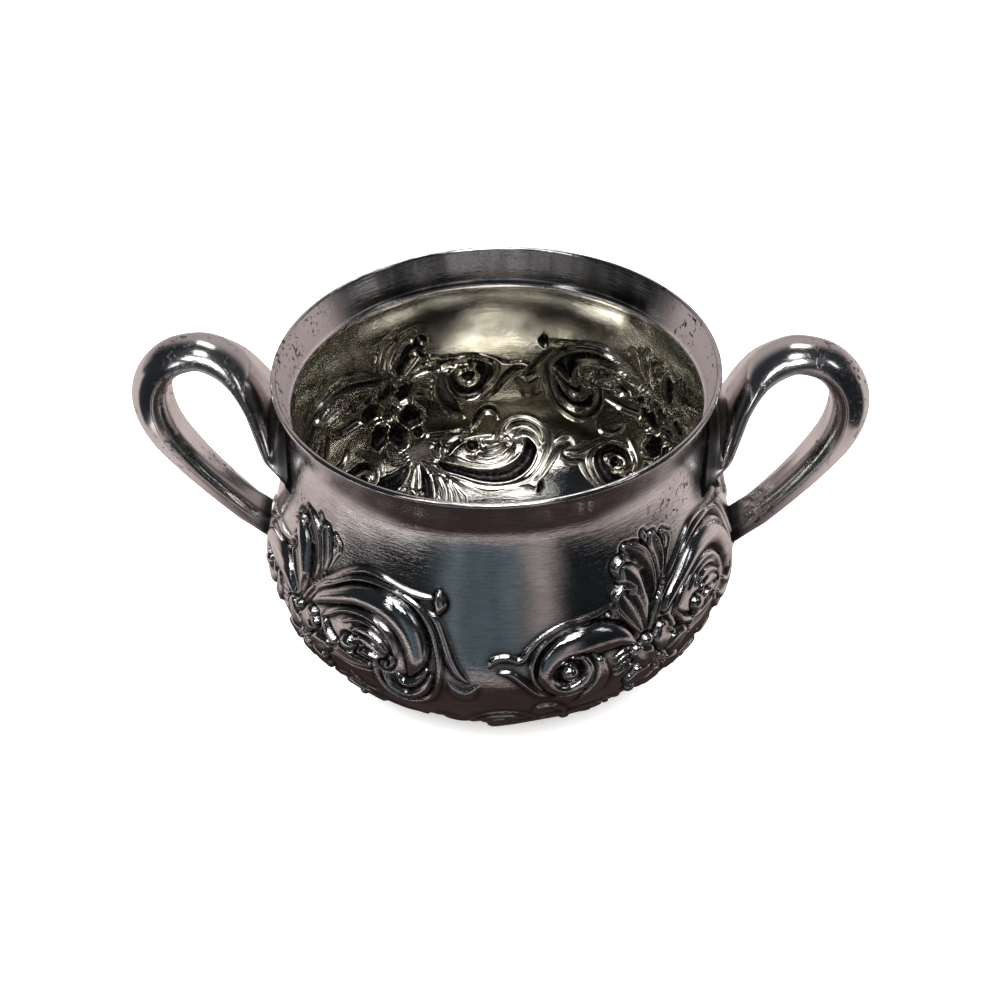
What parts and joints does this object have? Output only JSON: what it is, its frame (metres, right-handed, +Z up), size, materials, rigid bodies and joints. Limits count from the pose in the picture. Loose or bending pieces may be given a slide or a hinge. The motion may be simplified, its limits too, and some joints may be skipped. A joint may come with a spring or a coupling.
{
  "type": "sugar bowl",
  "caption": "Open round silver sugar bowl with a chased belly, flared mouth and ear-shaped hollow handles on either side.",
  "frame": {"origin": "centre of the resting plane, on the bowl's axis", "axes": "+Z up along the bowl's axis, +X towards the right handle, -Y towards the viewer"},
  "size_m": [0.167, 0.112, 0.0818],
  "materials": {
    "bowl_silver": "polished silver, oxidised in the recesses, worn gilt wash inside",
    "handle_silver": "polished silver with small pits and fine scratches",
    "solder": "hard silver solder, slightly rough and greyer than the sheet"
  },
  "bodies": {
    "root": {"bowl_body": "bowl_silver", "right_handle_outer_shell": "handle_silver", "right_handle_inner_shell": "handle_silver", "left_handle_outer_shell": "handle_silver", "left_handle_inner_shell": "handle_silver", "right_upper_solder": "solder", "right_lower_solder": "solder", "left_upper_solder": "solder", "left_lower_solder": "solder"}
  },
  "joints": []
}
